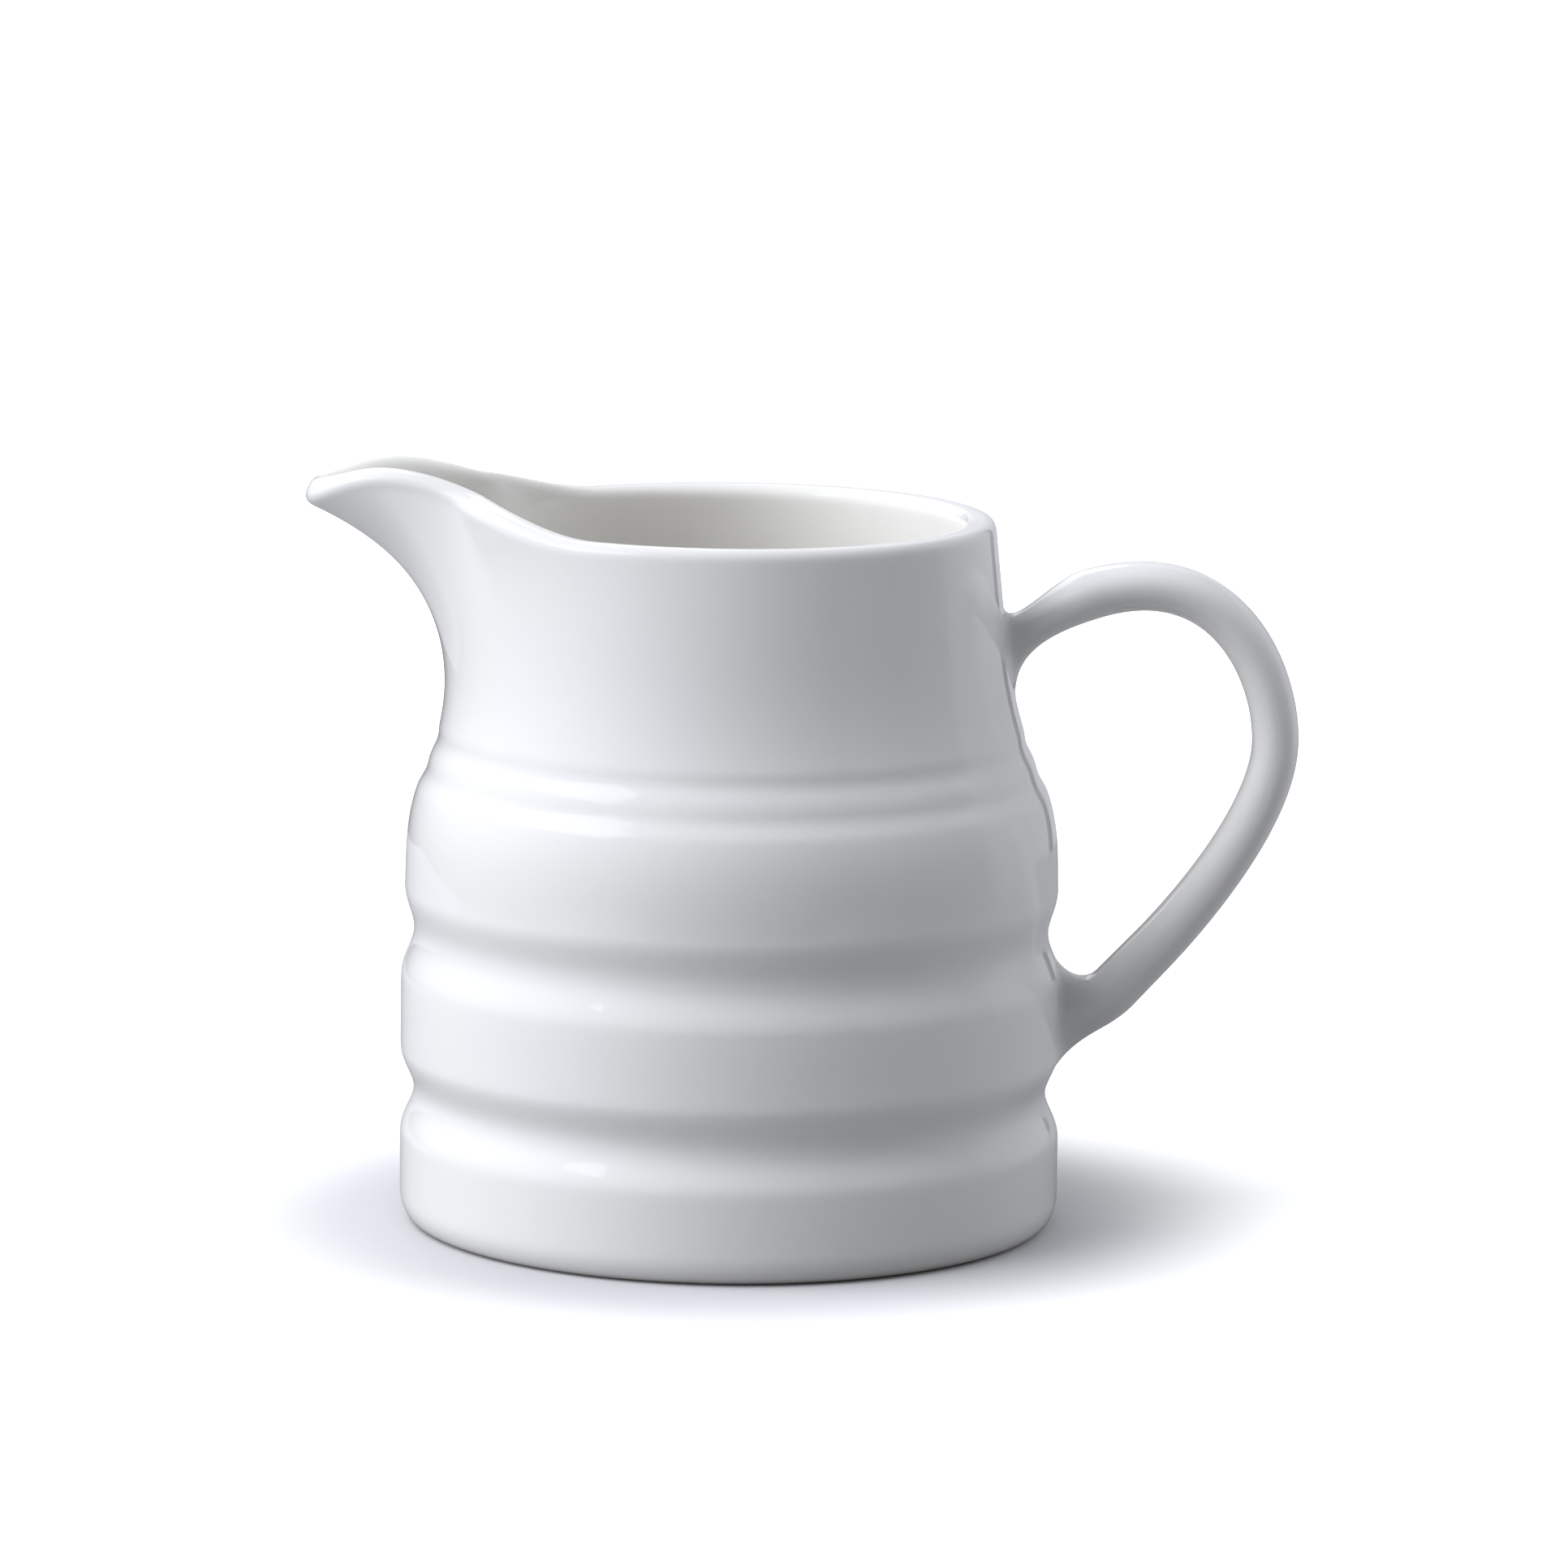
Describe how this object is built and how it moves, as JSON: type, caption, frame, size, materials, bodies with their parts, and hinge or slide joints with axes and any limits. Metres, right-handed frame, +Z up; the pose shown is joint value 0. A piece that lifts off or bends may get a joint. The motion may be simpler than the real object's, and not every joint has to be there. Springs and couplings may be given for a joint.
{
  "type": "porcelain jug",
  "caption": "Small glazed porcelain jug with a banded round body, a pulled beak spout and an ear-shaped handle opposite it.",
  "frame": {"origin": "middle of the jug's footprint (length and width) on the plane that it stands on", "axes": "+X towards the handle, -X towards the spout, +Z up out of the mouth, and +Y across the jug, to the right of a person who looks from the handle's side towards the spout"},
  "size_m": [0.1228, 0.082, 0.0939],
  "materials": {
    "glazed_porcelain": "clear glossy glaze over white porcelain",
    "glazed_handle": "clear glossy glaze over white porcelain",
    "glazed_slip": "clear glossy glaze, slightly pooled in the fillet"
  },
  "bodies": {
    "root": {"jug_body": "glazed_porcelain", "handle": "glazed_handle", "upper_slip_joint": "glazed_slip", "lower_slip_joint": "glazed_slip"}
  },
  "joints": []
}
